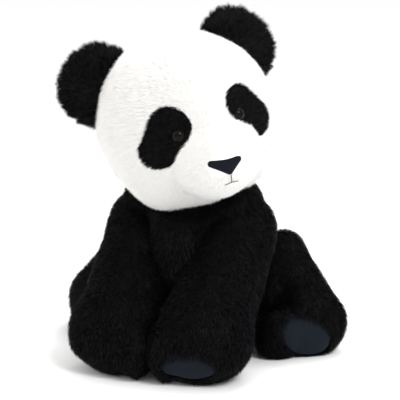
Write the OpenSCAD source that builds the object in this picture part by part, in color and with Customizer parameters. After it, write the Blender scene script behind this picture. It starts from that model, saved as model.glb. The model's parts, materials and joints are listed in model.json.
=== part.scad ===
// Sitting plush panda, in millimetres.
// It faces -Y, its left side is +X, and it sits on the plane z = 0.
// The origin is the centre of the bottom of its bounding box.
// Each soft part is a shell of plush fabric, in one or more panels, round a fibre filling.

/* [Body] */
// Height of the middle of the rump above the floor
rump_z = 54; // [50:1:56]
// Distance of the middle of the rump behind the origin
rump_y = 36; // [34:1:38]
// Radius of the rump
rump_r = 60; // [58:1:62]
// Height of the middle of the chest above the floor
chest_z = 106; // [104:1:108]
// Radius of the chest
chest_r = 45; // [42:1:45]
// Radius of the bag of beans in the rump
bean_bag_r = 24; // [18:1:28]

/* [Head] */
// Radius of the head
head_r = 71; // [68:1:72]
// Height of the middle of the head above the floor
head_z = 190; // [188:1:196]
// How far the head is turned to the panda's left
head_turn = 38; // [20:1:40]
// How far the top of the head leans to the panda's right
head_lean = 15; // [0:1:18]
// Radius of the muzzle
muzzle_r = 34; // [30:1:35]
// Diameter of each eye
eye_d = 10.5; // [8:0.5:12]
// Radius of each ear
ear_r = 31; // [26:1:33]
// Thickness of each ear at its middle
ear_thick = 15; // [12:1:16]

/* [Front legs] */
// Radius of the front leg at the shoulder
arm_r = 29; // [26:1:29]
// Radius of the front paw
paw_r = 34; // [30:1:34]
// Distance of each paw's middle from the middle plane
paw_x = 35.5; // [35:0.5:40]
// Distance of each paw's middle in front of the origin
paw_forward = 82; // [78:1:84]

/* [Hind legs] */
// Radius of the thigh
thigh_r = 37; // [34:1:38]
// Radius of the foot
foot_r = 26; // [24:1:27]
// How far each hind leg is splayed outward from straight ahead
leg_splay = 37; // [30:1:45]

/* [Fabric] */
// Thickness of the plush fabric with its backing
cloth = 2.2; // [1.6:0.2:3]
// Clearance between pieces that move past each other
gap = 1.2; // [0.8:0.1:1.5]

/* [Hidden] */
$fn = 64;

LEFT = 1;
RIGHT = -1;
FAR = 400;            // larger than the panda, for cutting
SLACK = 0.15;         // between a filling and the fabric round it
TOUCH = 0.05;         // between two pieces that lie on each other
SEAM = 0.15;          // between the panels of the head
ARC_STEP = 12;        // degrees between the points of a rounded profile

BLACK = [0.07, 0.07, 0.08];
WHITE = [0.95, 0.94, 0.91];
SLATE = [0.22, 0.25, 0.31];
NAVY = [0.13, 0.15, 0.21];
FIBRE = [0.88, 0.88, 0.84];

// Body
rump = [0, rump_y, rump_z];
chest = [0, 12, chest_z];
body_split_front_z = 52;      // the black chest meets the white body here in front
body_split_back_z = 118;      // and here behind
seat_h = 15;                  // height of the panel that the panda sits on
bean_bag_at = [0, rump_y, 18];

// Head and neck. The head is a ball that turns in a dish in the top of the torso.
head = [0, -16, head_z];
neck_lean = 16;               // the neck leans forward by this much
dish_r = head_r + gap + 0.3;
neck_ring_angle = 30;         // from the neck's axis, seen from the middle of the head
neck_ring_d = 4.6;
neck_ring_at = head_r + gap + neck_ring_d / 2 - 0.4;
neck_ring_room = 0.6;
neck_plug_angle = 12;
neck_plug_depth = 4;
neck_opening_depth = 8;       // how far the neck's opening is cut into the torso
nod_room = 13;

muzzle = [0, -46, -26];       // in the head's own axes
gusset_w = 40;
face_edge_y = -8;
patch_top = [30, -62, 17];
patch_bottom = [43, -56, -10];
patch_thick = 1.2;
patch_top_r = 15;
patch_bottom_r = 12;
eye_at = [26.5, -66.5, 8];
shank_d = 3;
shank_l = 12;
washer_d = 15;
washer_h = 1.4;
washer_depth = cloth + 1;

// Ears
ear_out = [0.80, 0.35, 0.49]; // direction of the left ear from the middle of the head
ear_turn = 20;                // how far the front of the ear is turned towards the face
ear_root_r = 6;
ear_axis_at = head_r + gap + ear_root_r;

// Front legs
shoulder = [44, -15, 94];
paw = [paw_x, -paw_forward, 32];
arm_back_swing = 12;
paw_pad = [24, 32];           // width and length
shoulder_ring_r = 14;
shoulder_ring_x = 16.8;
ring_d = 2.8;

// Hind legs
hip = [60, 36, 53];
foot = [92, 4, 25];
hip_plane = 44;               // the hind leg's flat inner side
sole_at = 12;                 // the flat sole's distance from the middle of the foot
foot_pad = [44, 31];
foot_pad_drop = 5;
hip_ring_r = 27;

// Tail
tail_root_r = 6;
tail_tip_r = 8;
tail_root = rump + (rump_r + gap + tail_root_r) * unit([0, 1, -0.24]);
tail_tip = tail_root + [0, 7, -3.5];

function unit(v) = v / norm(v);
function arc(r, z, from, to) =
    [for (i = [0 : ceil((to - from) / ARC_STEP)])
        let (t = min(from + i * ARC_STEP, to)) [max(r * cos(t), 0), z + r * sin(t)]];

// A stuffed limb: two balls of radii ra and rb joined by the cone that touches both.
module pod(a, ra, b, rb) {
    length = norm(b - a);
    lean = asin((ra - rb) / length);
    along = (b - a) / length;
    translate(a)
        rotate([0, acos(along[2]), atan2(along[1], along[0])])
            rotate_extrude()
                polygon(concat(arc(ra, 0, -90, lean), arc(rb, length, lean, 90)));
}

module ball(at, r) {
    translate(at) sphere(r);
}

// Everything on one side of x = 0, moved out to at.
module side_half(side, at = 0) {
    translate([side > 0 ? at : -at - FAR, -FAR / 2, -FAR / 2]) cube(FAR);
}

module mirrored(side) {
    mirror([side < 0 ? 1 : 0, 0, 0]) children();
}

module above_floor() {
    translate([-FAR / 2, -FAR / 2, 0]) cube(FAR);
}

// ---- Torso ----

module mirrored_pair() {
    children();
    mirror([1, 0, 0]) children();
}

// The room in front of the torso that the front legs sweep through, seen along X.
module arm_room(grow = 0) {
    root = arm_r + gap / 2 + grow;
    back = paw_r + gap / 2 + grow;
    down = [shoulder[1] - paw[1], shoulder[2] - paw[2]];
    swing = atan2(down[0], down[1]) - arm_back_swing;
    heel = [shoulder[1], shoulder[2]] - norm(down) * [sin(swing), cos(swing)];
    behind = [cos(swing), -sin(swing)];
    top = shoulder[2] + root;
    translate([-FAR / 2, 0, 0])
        rotate([90, 0, 90])
            linear_extrude(FAR) {
                polygon([
                    [shoulder[1], shoulder[2]] + (root - 0.8) * behind, heel + back * behind,
                    heel + back * behind - [10, 60], [-FAR / 2, -60],
                    [-FAR / 2, top], [shoulder[1] - 8, top], [shoulder[1], shoulder[2]]
                ]);
                translate([shoulder[1], shoulder[2]]) circle(root);
            }
}

module neck_frame() {
    translate(head) rotate([neck_lean, 0, 0]) children();
}

// A ring round the neck's axis that lies on the head ball.
module neck_ring(d) {
    neck_frame()
        translate([0, 0, -neck_ring_at * cos(neck_ring_angle)])
            rotate_extrude()
                translate([neck_ring_at * sin(neck_ring_angle), 0]) circle(d = d);
}

// A dish-shaped plug under the head ball, from radius r0 to r1.
module neck_plug(r0, r1, half_angle) {
    neck_frame()
        difference() {
            intersection() {
                sphere(r1);
                translate([0, 0, -r1 * 1.2])
                    cylinder(h = r1 * 1.2, r1 = r1 * 1.2 * tan(half_angle), r2 = 0);
            }
            sphere(r0);
        }
}

// The rump is a ball with flat sides for the hind legs, and the chest is a ball.
module torso_form(shrink) {
    half_w = hip_plane - ring_d - gap - shrink;
    difference() {
        union() {
            intersection() {
                ball(rump, rump_r - shrink);
                translate([-half_w, -FAR / 2, shrink]) cube([2 * half_w, FAR, FAR]);
            }
            ball(chest, chest_r - shrink);
        }
        ball(head, dish_r + shrink);
        arm_room(shrink);
    }
}

module torso_shell() {
    difference() {
        torso_form(0);
        torso_form(cloth);
        neck_ring(neck_ring_d + 2 * neck_ring_room);
        neck_plug(1, dish_r + neck_opening_depth, neck_plug_angle + nod_room);
    }
}

// Everything above the sloping seam between the black chest and the white body.
module chest_region() {
    rise = body_split_back_z - body_split_front_z;
    slope = atan2(rise, 120);
    translate([0, -40, body_split_front_z])
        rotate([slope, 0, 0])
            translate([-FAR / 2, -FAR / 2, 0]) cube(FAR);
}

module seat_region() {
    translate([-FAR / 2, -FAR / 2, -FAR + seat_h]) cube(FAR);
}

module chest_panel() {
    color(BLACK) intersection() {
        torso_shell();
        chest_region();
    }
}

module body_panel() {
    color(WHITE) difference() {
        torso_shell();
        chest_region();
        seat_region();
    }
}

module seat_panel() {
    color(WHITE) intersection() {
        torso_shell();
        seat_region();
    }
}

module torso_filling() {
    color(FIBRE) difference() {
        torso_form(cloth + SLACK);
        ball(bean_bag_at, bean_bag_r + SLACK);
        ball(head, dish_r + neck_plug_depth + 1);
    }
}

// A bag of beans that lies on the inside of the seat.
module bean_bag() {
    color("tan") intersection() {
        ball(bean_bag_at, bean_bag_r);
        translate([0, 0, cloth + SLACK]) above_floor();
    }
}

// ---- Neck ----

module neck_seam() {
    color(BLACK) neck_ring(neck_ring_d - 2 * 0.4);
}

module neck_filling() {
    color(FIBRE) neck_plug(head_r + 0.7, dish_r + neck_plug_depth, neck_plug_angle);
}

// ---- Head, in its own axes: the face looks along -Y ----

module head_frame() {
    translate(head) rotate([0, 0, head_turn]) rotate([0, -head_lean, 0]) children();
}

// The balls' poles are at the front and back, so that no panel holds both.
module head_shell() {
    rotate([90, 0, 0]) difference() {
        sphere(head_r);
        sphere(head_r - cloth);
    }
}

module eye_frame() {
    out = unit(eye_at);
    rotate([0, acos(out[2]), atan2(out[1], out[0])]) translate([0, 0, head_r]) children();
}

module eye_bore(d) {
    eye_frame() translate([0, 0, -shank_l - 2]) cylinder(h = shank_l + 8, d = d);
}

module face_region(grow = 0) {
    translate([-FAR / 2, face_edge_y - FAR + grow, -FAR / 2]) cube(FAR);
}

module gusset_region() {
    w = gusset_w - 2 * SEAM;
    translate([-w / 2, -FAR / 2, -FAR / 2]) cube([w, FAR, FAR]);
}

module head_face() {
    color(WHITE) head_frame() difference() {
        intersection() {
            head_shell();
            face_region();
        }
        mirrored_pair() eye_bore(shank_d + 0.4);
    }
}

module head_gusset() {
    color(WHITE) head_frame() difference() {
        intersection() {
            head_shell();
            gusset_region();
        }
        face_region(SEAM);
    }
}

module head_back(side) {
    color(WHITE) head_frame() mirrored(-side) difference() {
        intersection() {
            head_shell();
            side_half(RIGHT, gusset_w / 2);
        }
        face_region(SEAM);
    }
}

module head_filling() {
    color(FIBRE) head_frame() difference() {
        sphere(head_r - cloth - SLACK);
        mirrored_pair() eye_bore(washer_d + 0.6);
    }
}

// A ball of radius r on the front of the head ball, which it fits against.
module muzzle_form(r, hollow_r = 0) {
    out = unit(muzzle);
    rotate([0, acos(out[2]), atan2(out[1], out[0])])
        rotate_extrude()
            intersection() {
                difference() {
                    translate([0, norm(muzzle)]) circle(r);
                    if (hollow_r > 0) translate([0, norm(muzzle)]) circle(hollow_r);
                    circle(head_r + TOUCH);
                }
                square(FAR);
            }
}

module muzzle_panel() {
    color(WHITE) head_frame() muzzle_form(muzzle_r, muzzle_r - cloth);
}

module muzzle_filling() {
    color(FIBRE) head_frame() muzzle_form(muzzle_r - cloth - SLACK);
}

// The outline of a triangle, point down, with a round corner of radius r at each point.
function rounded_triangle(half_w, h, r) = concat(
    corner([half_w, h / 2], r, -45, 90),
    corner([-half_w, h / 2], r, 90, 225),
    corner([0, -h / 2], r, 225, 315)
);
function corner(at, r, from, to) =
    [for (i = [0 : 5]) let (t = from + i * (to - from) / 5) at + r * [cos(t), sin(t)]];

// A velour pad with a crowned face, sewn on the front of the muzzle.
module nose() {
    y = muzzle[1] - muzzle_r - TOUCH;
    color(NAVY) head_frame() intersection() {
        translate([0, y, -24]) rotate([90, 0, 0])
            linear_extrude(5) polygon(rounded_triangle(8.5, 9, 4.4));
        ball([0, y + 21, -24], 26);
    }
}

// Thread under the nose: a short upright stitch and a small smile.
module mouth_stitch() {
    thread_r = 0.7;
    stem_from = 16;           // degrees below level, seen from the middle of the muzzle
    stem_to = 25;
    smile_gap = 4;
    smile_half = 13;
    color(BLACK) head_frame() translate(muzzle) {
        rotate([0, 90, 0]) rotate([0, 0, -90 + stem_from])
            rotate_extrude(angle = stem_to - stem_from)
                translate([muzzle_r + thread_r + TOUCH, 0]) circle(thread_r);
        rotate([stem_to + smile_gap, 0, 0]) rotate([0, 0, -90 - smile_half])
            rotate_extrude(angle = 2 * smile_half)
                translate([muzzle_r + thread_r + TOUCH, 0]) circle(thread_r);
    }
}

// A patch of black plush round the eye. The muzzle covers its inner edge.
module eye_patch(side) {
    color(BLACK) head_frame() mirrored(side) difference() {
        intersection() {
            sphere(head_r + patch_thick);
            pod(head_r * unit(patch_top), patch_top_r, head_r * unit(patch_bottom), patch_bottom_r);
        }
        sphere(head_r + TOUCH);
        ball(muzzle, muzzle_r + 0.2);
        eye_bore(shank_d + 0.4);
    }
}

// A domed plastic eye with the shank that its washer locks on to.
module eye(side) {
    dome_r = eye_d / 2;
    color(BLACK) head_frame() mirrored(side) eye_frame() {
        translate([0, 0, patch_thick + 0.1]) intersection() {
            ball([0, 0, dome_r * 0.1 - 1], dome_r);
            translate([0, 0, FAR / 2]) cube(FAR, center = true);
        }
        translate([0, 0, -shank_l]) cylinder(h = shank_l + 2, d = shank_d);
    }
}

module eye_washer(side) {
    color("white") head_frame() mirrored(side) eye_frame()
        translate([0, 0, -washer_depth - washer_h])
            difference() {
                cylinder(h = washer_h, d = washer_d);
                translate([0, 0, -1]) cylinder(h = washer_h + 2, d = shank_d + TOUCH);
            }
}

// ---- Ears, in their own axes: x along the hinge, z away from the head ----

module ear_frame(side) {
    head_frame() mirrored(side)
        rotate([0, acos(ear_out[2]), atan2(ear_out[1], ear_out[0])])
            translate([0, 0, ear_axis_at]) rotate([0, 0, -ear_turn]) children();
}

// A lens with a round rim, cut off along the hinge, on a round root.
module ear_form(shrink) {
    r = ear_r - shrink;
    half = ear_thick / 2 - shrink;
    rim = 4 - shrink / 2;
    intersection() {
        rotate([90, 0, 0])
            rotate_extrude()
                intersection() {
                    union() {
                        translate([r - rim, 0]) circle(rim);
                        polygon([
                            [0, -half], [r * 0.45, -half * 0.92], [r - rim, -rim],
                            [r - rim, rim], [r * 0.45, half * 0.92], [0, half]
                        ]);
                    }
                    translate([0, -FAR / 2]) square(FAR);
                }
        translate([-FAR / 2, -FAR / 2, shrink]) cube(FAR);
    }
}

module ear_root(shrink) {
    rotate([0, 90, 0])
        cylinder(h = 1.5 * ear_r - 2 * shrink, r = ear_root_r - shrink, center = true);
}

module ear_panel(side, front) {
    color(BLACK) ear_frame(side) intersection() {
        difference() {
            union() {
                ear_form(0);
                ear_root(0);
            }
            ear_form(cloth);
            ear_root(cloth);
        }
        translate([-FAR / 2, front ? -FAR : 0, -FAR / 2]) cube(FAR);
    }
}

module ear_filling(side) {
    color(FIBRE) ear_frame(side) union() {
        ear_form(cloth + SLACK);
        ear_root(cloth + SLACK);
    }
}

// ---- Front legs ----

module arm_form(shrink) {
    intersection() {
        pod(shoulder, arm_r - shrink, paw, paw_r - shrink);
        translate([0, 0, shrink]) above_floor();
    }
}

// The front leg's cover is an outer and an inner panel, joined along its middle plane.
module arm_panel(side, outer) {
    middle = (shoulder[0] + paw[0]) / 2;
    color(BLACK) mirrored(side) difference() {
        intersection() {
            arm_form(0);
            if (outer) side_half(LEFT, middle);
            else side_half(RIGHT, -middle);
        }
        arm_form(cloth);
    }
}

module arm_filling(side) {
    color(FIBRE) mirrored(side) arm_form(cloth + SLACK);
}

// An oval pad on the front of the paw, low down.
module paw_pad(side) {
    color(SLATE) mirrored(side)
        intersection() {
            difference() {
                ball(paw, paw_r + 1);
                ball(paw, paw_r + TOUCH);
            }
            translate(paw) rotate([90 + 40, 0, 0])
                pod([0, -4, 20], paw_pad[0] / 2, [0, 4, 34], paw_pad[1] / 2);
            translate([0, 0, 0.3]) above_floor();
        }
}

module seam_ring(at, ring_r) {
    translate(at) rotate([0, 90, 0])
        rotate_extrude() translate([ring_r, 0]) circle(d = ring_d);
}

// Half a ring, on the side of the shoulder away from the paw.
module shoulder_seam(side) {
    down = paw - shoulder;
    color(BLACK) mirrored(side)
        translate([shoulder_ring_x, shoulder[1], shoulder[2]])
            rotate([atan2(-down[2], -down[1]), 0, 0]) rotate([0, 90, 0])
                rotate_extrude(angle = 176)
                    translate([shoulder_ring_r, 0]) circle(d = ring_d);
}

// ---- Hind legs ----

module sole_frame() {
    translate(foot) rotate([0, 0, leg_splay]) rotate([90, 0, 0])
        translate([0, 0, sole_at]) children();
}

module leg_form(shrink) {
    difference() {
        intersection() {
            pod(hip, thigh_r - shrink, foot, foot_r - shrink);
            translate([0, 0, shrink]) above_floor();
            side_half(LEFT, hip_plane + shrink);
        }
        sole_frame() translate([-FAR / 2, -FAR / 2, -shrink]) cube(FAR);
    }
}

module leg_cover(side) {
    color(BLACK) mirrored(side) difference() {
        leg_form(0);
        leg_form(cloth);
    }
}

module leg_filling(side) {
    color(FIBRE) mirrored(side) leg_form(cloth + SLACK);
}

module foot_pad(side) {
    color(SLATE) mirrored(side) intersection() {
        sole_frame() translate([0, -foot_pad_drop, TOUCH])
            linear_extrude(1.2)
                union() {
                    for (x = [-1, 1])
                        translate([x * (foot_pad[0] - foot_pad[1]) / 2, 0]) circle(d = foot_pad[1]);
                    square([foot_pad[0] - foot_pad[1], foot_pad[1]], center = true);
                }
        translate([0, 0, 0.3]) above_floor();
    }
}

module hip_seam(side) {
    color(BLACK) mirrored(side)
        seam_ring([hip_plane - ring_d / 2 - 0.1, hip[1], hip[2]], hip_ring_r);
}

// ---- Tail ----

module tail_form(shrink) {
    pod(tail_root, tail_root_r - shrink, tail_tip, tail_tip_r - shrink);
}

module tail_cover() {
    color(WHITE) difference() {
        tail_form(0);
        tail_form(cloth);
    }
}

module tail_filling() {
    color(FIBRE) tail_form(cloth + SLACK);
}

chest_panel();
body_panel();
seat_panel();
torso_filling();
bean_bag();
neck_seam();
neck_filling();
head_face();
head_gusset();
head_back(LEFT);  // head_back_left
head_back(RIGHT);  // head_back_right
head_filling();
muzzle_panel();
muzzle_filling();
nose();
mouth_stitch();
eye_patch(LEFT);  // eye_patch_left
eye_patch(RIGHT);  // eye_patch_right
eye(LEFT);  // eye_left
eye(RIGHT);  // eye_right
eye_washer(LEFT);  // eye_washer_left
eye_washer(RIGHT);  // eye_washer_right
ear_panel(LEFT, true);  // ear_front_left
ear_panel(LEFT, false);  // ear_back_left
ear_filling(LEFT);  // ear_filling_left
ear_panel(RIGHT, true);  // ear_front_right
ear_panel(RIGHT, false);  // ear_back_right
ear_filling(RIGHT);  // ear_filling_right
arm_panel(LEFT, true);  // arm_outer_left
arm_panel(LEFT, false);  // arm_inner_left
arm_filling(LEFT);  // arm_filling_left
paw_pad(LEFT);  // paw_pad_left
shoulder_seam(LEFT);  // shoulder_seam_left
arm_panel(RIGHT, true);  // arm_outer_right
arm_panel(RIGHT, false);  // arm_inner_right
arm_filling(RIGHT);  // arm_filling_right
paw_pad(RIGHT);  // paw_pad_right
shoulder_seam(RIGHT);  // shoulder_seam_right
leg_cover(LEFT);  // leg_cover_left
leg_filling(LEFT);  // leg_filling_left
foot_pad(LEFT);  // foot_pad_left
hip_seam(LEFT);  // hip_seam_left
leg_cover(RIGHT);  // leg_cover_right
leg_filling(RIGHT);  // leg_filling_right
foot_pad(RIGHT);  // foot_pad_right
hip_seam(RIGHT);  // hip_seam_right
tail_cover();
tail_filling();
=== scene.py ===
"""Sitting plush panda round the CAD frame: sculpted skins, fur made of real strands, pads, nose,
eyes and thread."""

import json
import math

import bpy
import numpy as np
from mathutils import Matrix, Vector
from mathutils.kdtree import KDTree


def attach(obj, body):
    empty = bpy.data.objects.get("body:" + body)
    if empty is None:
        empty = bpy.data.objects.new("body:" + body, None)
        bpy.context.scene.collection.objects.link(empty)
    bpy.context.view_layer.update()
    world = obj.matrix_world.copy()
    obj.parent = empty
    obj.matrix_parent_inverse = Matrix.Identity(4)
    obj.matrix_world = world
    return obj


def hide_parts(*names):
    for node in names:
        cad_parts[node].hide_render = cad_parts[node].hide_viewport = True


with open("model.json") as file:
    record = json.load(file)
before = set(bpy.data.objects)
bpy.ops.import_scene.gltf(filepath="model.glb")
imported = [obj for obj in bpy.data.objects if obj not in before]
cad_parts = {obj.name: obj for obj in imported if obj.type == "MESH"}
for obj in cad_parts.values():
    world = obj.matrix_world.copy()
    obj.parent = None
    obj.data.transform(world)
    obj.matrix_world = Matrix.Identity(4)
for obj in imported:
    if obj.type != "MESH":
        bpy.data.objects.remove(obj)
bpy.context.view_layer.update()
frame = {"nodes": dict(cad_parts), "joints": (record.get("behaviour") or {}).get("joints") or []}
NODES = frame["nodes"]
JOINTS = {j["name"]: j for j in frame["joints"]}
MM = 0.001
LEFT, RIGHT = 1, -1
SIDES = ((LEFT, "left"), (RIGHT, "right"))

bpy.context.scene.view_settings.view_transform = "Standard"


# ---- Camera: at the viewing angle of the real toy's picture ----

CAM_TARGET = np.array((2.3, 0.8, 122.0))
CAM_AZIMUTH, CAM_ELEVATION, CAM_DISTANCE = math.radians(20), math.radians(12), 1250.0
back = np.array((
    math.sin(CAM_AZIMUTH) * math.cos(CAM_ELEVATION),
    -math.cos(CAM_AZIMUTH) * math.cos(CAM_ELEVATION),
    math.sin(CAM_ELEVATION),
))
cam_data = bpy.data.cameras.new("camera")
cam_data.sensor_width = 36.0
cam_data.lens = 138.3
cam = bpy.data.objects.new("camera", cam_data)
bpy.context.scene.collection.objects.link(cam)
cam.location = Vector((CAM_TARGET + CAM_DISTANCE * back) * MM)
cam.rotation_mode = "QUATERNION"
cam.rotation_quaternion = (-Vector(back)).to_track_quat("-Z", "Y")
cam_data.clip_end = 20.0
bpy.context.scene.camera = cam


# ---- Small vector helpers. Shapes are worked out in millimetres ----


def unit(v):
    v = np.asarray(v, float)
    return v / np.maximum(np.linalg.norm(v, axis=-1, keepdims=True), 1e-9)


def turn_y(deg):
    c, s = math.cos(math.radians(deg)), math.sin(math.radians(deg))
    return np.array(((c, 0, s), (0, 1, 0), (-s, 0, c)))


def turn_z(deg):
    c, s = math.cos(math.radians(deg)), math.sin(math.radians(deg))
    return np.array(((c, -s, 0), (s, c, 0), (0, 0, 1)))


class Place:
    """Where a shape's own axes are in the row frame, and whether it is mirrored in x first."""

    def __init__(self, rot=np.eye(3), at=(0, 0, 0), flip=False):
        self.m = np.array(rot, float)
        if flip:
            self.m = self.m @ np.diag((-1.0, 1, 1))
        self.at, self.flip = np.array(at, float), flip

    def points(self, p):
        return p @ self.m.T + self.at

    def dirs(self, d):
        return d @ self.m.T


def joint_at(name):
    return np.array(JOINTS[name]["pos_m"], float) / MM


# ---- Distance functions for the stuffed shapes ----


def ellipsoid(c, r, rot=None):
    c, r = np.array(c, float), np.array(r, float)

    def f(p):
        q = p - c
        if rot is not None:
            q = q @ rot
        k0 = np.linalg.norm(q / r, axis=1)
        k1 = np.linalg.norm(q / (r * r), axis=1)
        return k0 * (k0 - 1) / np.maximum(k1, 1e-9)

    return f


def cone(a, ra, b, rb):
    """Two balls joined by the cone that touches both."""
    a, b = np.array(a, float), np.array(b, float)
    ba = b - a
    l2 = float(ba @ ba)
    rr = ra - rb
    a2 = l2 - rr * rr

    def f(p):
        pa = p - a
        y = pa @ ba
        z = y - l2
        x2 = ((pa * l2 - ba * y[:, None]) ** 2).sum(1)
        y2, z2 = y * y * l2, z * z * l2
        k = np.sign(rr) * rr * rr * x2
        out = (np.sqrt(x2 * a2 / l2) + y * rr) / l2 - ra
        far = np.sign(z) * a2 * z2 > k
        near = np.sign(y) * a2 * y2 < k
        out = np.where(near, np.sqrt(x2 + y2) / l2 - ra, out)
        return np.where(far, np.sqrt(x2 + z2) / l2 - rb, out)

    return f


def half_space(at, out):
    """Everything on the side of a plane that out points away from."""
    at, out = np.array(at, float), unit(out)
    return lambda p: (p - at) @ out


SEAT_Z = 0.4  # the skins of the body and legs end this far above the floor, mm
ABOVE_FLOOR = half_space((0, 0, SEAT_Z), (0, 0, -1))


def join(k, *fs):
    def f(p):
        d = fs[0](p)
        for g in fs[1:]:
            e = g(p)
            h = np.clip(0.5 + 0.5 * (e - d) / k, 0, 1)
            d = e * (1 - h) + d * h - k * h * (1 - h)
        return d

    return f


def keep(k, f, g):
    """The part of f inside g, with the edge rounded."""
    inner = join(k, lambda p: -f(p), lambda p: -g(p))
    return lambda p: -inner(p)


def cut(k, f, g):
    return keep(k, f, lambda p: -g(p))


def lumpy(f, seed, size=34.0, depth=0.9):
    """Uneven stuffing: f with slow waves in its surface."""
    rng = np.random.default_rng(seed)
    waves = unit(rng.normal(size=(9, 3))) * (2 * math.pi / (size * rng.uniform(0.7, 1.5, (9, 1))))
    phase = rng.uniform(0, 2 * math.pi, 9)
    return lambda p: f(p) + depth * np.sin(p @ waves.T + phase).sum(1) / 3


def slope(f, p, step=0.25):
    """The outward normal of f at each point."""
    g = np.empty_like(p)
    for i in range(3):
        d = np.zeros(3)
        d[i] = step
        g[:, i] = f(p + d) - f(p - d)
    return unit(g)


# ---- Meshes ----


def icosphere(level):
    t = (1 + 5**0.5) / 2
    v = [(-1, t, 0), (1, t, 0), (-1, -t, 0), (1, -t, 0), (0, -1, t), (0, 1, t),
         (0, -1, -t), (0, 1, -t), (t, 0, -1), (t, 0, 1), (-t, 0, -1), (-t, 0, 1)]
    f = [(0, 11, 5), (0, 5, 1), (0, 1, 7), (0, 7, 10), (0, 10, 11), (1, 5, 9), (5, 11, 4),
         (11, 10, 2), (10, 7, 6), (7, 1, 8), (3, 9, 4), (3, 4, 2), (3, 2, 6), (3, 6, 8),
         (3, 8, 9), (4, 9, 5), (2, 4, 11), (6, 2, 10), (8, 6, 7), (9, 8, 1)]
    v, f = unit(np.array(v, float)), np.array(f)
    for _ in range(level):
        e = np.sort(np.concatenate((f[:, :2], f[:, 1:], f[:, ::2])), axis=1)
        key, inv = np.unique(e, axis=0, return_inverse=True)
        inv = inv.reshape(-1)
        n, m = len(v), len(f)
        v = np.concatenate((v, unit(v[key[:, 0]] + v[key[:, 1]])))
        ab, bc, ca = n + inv[:m], n + inv[m : 2 * m], n + inv[2 * m :]
        a, b, c = f.T
        quarters = ((a, ab, ca), (b, bc, ab), (c, ca, bc), (ab, bc, ca))
        f = np.concatenate([np.stack(x, 1) for x in quarters])
    return v, f


SPHERE = icosphere(5)
HALVINGS = 26  # of a search for a surface


def reach(f, centre, dirs, far=150.0):
    """How far the surface of f is from centre along each direction."""
    lo, hi = np.zeros(len(dirs)), np.full(len(dirs), far)
    for _ in range(HALVINGS):
        mid = (lo + hi) / 2
        inside = f(centre + dirs * mid[:, None]) < 0
        lo, hi = np.where(inside, mid, lo), np.where(inside, hi, mid)
    return (lo + hi) / 2


def along_to(f, start, out, far):
    """From each start, how far along out the surface of f is, between 60 mm behind and far."""
    lo, hi = np.full(len(start), -60.0), np.full(len(start), far)
    for _ in range(HALVINGS):
        mid = (lo + hi) / 2
        inside = f(start + mid[:, None] * out) < 0
        lo, hi = np.where(inside, mid, lo), np.where(inside, hi, mid)
    return lo


def skin_of(f, centre):
    dirs, faces = SPHERE
    centre = np.array(centre, float)
    return centre + dirs * reach(f, centre, dirs)[:, None], faces


def mesh_object(name, verts, starts, loops, place=None, slots=None, materials=(), normals=None):
    """An object from vertices in mm, the first corner of each face, and the corners' vertices."""
    place = place or Place()
    co = place.points(np.asarray(verts, float)) * MM
    me = bpy.data.meshes.new(name)
    me.vertices.add(len(co))
    me.vertices.foreach_set("co", co.astype(np.float32).ravel())
    me.loops.add(len(loops))
    me.loops.foreach_set("vertex_index", np.asarray(loops, np.int32))
    me.polygons.add(len(starts))
    me.polygons.foreach_set("loop_start", np.asarray(starts, np.int32))
    for m in materials:
        me.materials.append(m)
    if slots is not None:
        me.polygons.foreach_set("material_index", np.asarray(slots, np.int32))
    me.update(calc_edges=True)
    me.shade_smooth()
    if place.flip:
        me.flip_normals()
    if normals is not None:
        me.normals_split_custom_set_from_vertices(unit(place.dirs(normals)).astype(np.float32))
    ob = bpy.data.objects.new(name, me)
    bpy.context.scene.collection.objects.link(ob)
    return ob


def solid(name, verts, faces, place=None, slots=None, materials=()):
    """An object from faces that all have the same number of corners."""
    faces = np.asarray(faces)
    n = faces.shape[1]
    starts = np.arange(len(faces)) * n
    return mesh_object(name, verts, starts, faces.ravel(), place, slots, materials)


# ---- Materials ----


def shader(name, colour, rough=0.6, sheen=0.0, sheen_tint=(1, 1, 1), sheen_rough=0.4, spec=0.5):
    m = bpy.data.materials.new(name)
    m.use_nodes = True
    b = m.node_tree.nodes["Principled BSDF"]
    b.inputs["Base Color"].default_value = (*colour, 1)
    b.inputs["Roughness"].default_value = rough
    b.inputs["Sheen Weight"].default_value = sheen
    b.inputs["Sheen Roughness"].default_value = sheen_rough
    b.inputs["Sheen Tint"].default_value = (*sheen_tint, 1)
    b.inputs["Specular IOR Level"].default_value = spec
    m.diffuse_color = (*colour, 1)
    return m


def add(m, kind, **values):
    node = m.node_tree.nodes.new(kind)
    for key, value in values.items():
        if key[0].isupper():
            node.inputs[key.replace("_", " ")].default_value = value
        else:
            setattr(node, key, value)
    return node


def wire(m, a, out, b, into):
    m.node_tree.links.new(a.outputs[out], b.inputs[into])


def bsdf(m):
    return m.node_tree.nodes["Principled BSDF"]


def grain(m, scale, strength, distance, detail=4.0, tone=None, kind="ShaderNodeTexNoise"):
    """Adds a fine bump to m, and if tone gives two colours, mottles between them."""
    where = add(m, "ShaderNodeTexCoord")
    tex = add(m, kind, Scale=scale)
    if kind == "ShaderNodeTexNoise":
        tex.inputs["Detail"].default_value = detail
    wire(m, where, "Object", tex, "Vector")
    out = "Fac" if kind == "ShaderNodeTexNoise" else "Distance"
    bump = add(m, "ShaderNodeBump", Strength=strength, Distance=distance)
    wire(m, tex, out, bump, "Height")
    wire(m, bump, "Normal", bsdf(m), "Normal")
    if tone:
        ramp = add(m, "ShaderNodeValToRGB")
        ramp.color_ramp.elements[0].position, ramp.color_ramp.elements[1].position = 0.3, 0.7
        ramp.color_ramp.elements[0].color = (*tone[0], 1)
        ramp.color_ramp.elements[1].color = (*tone[1], 1)
        wire(m, tex, out, ramp, "Fac")
        wire(m, ramp, "Color", bsdf(m), "Base Color")
    return m


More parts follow.
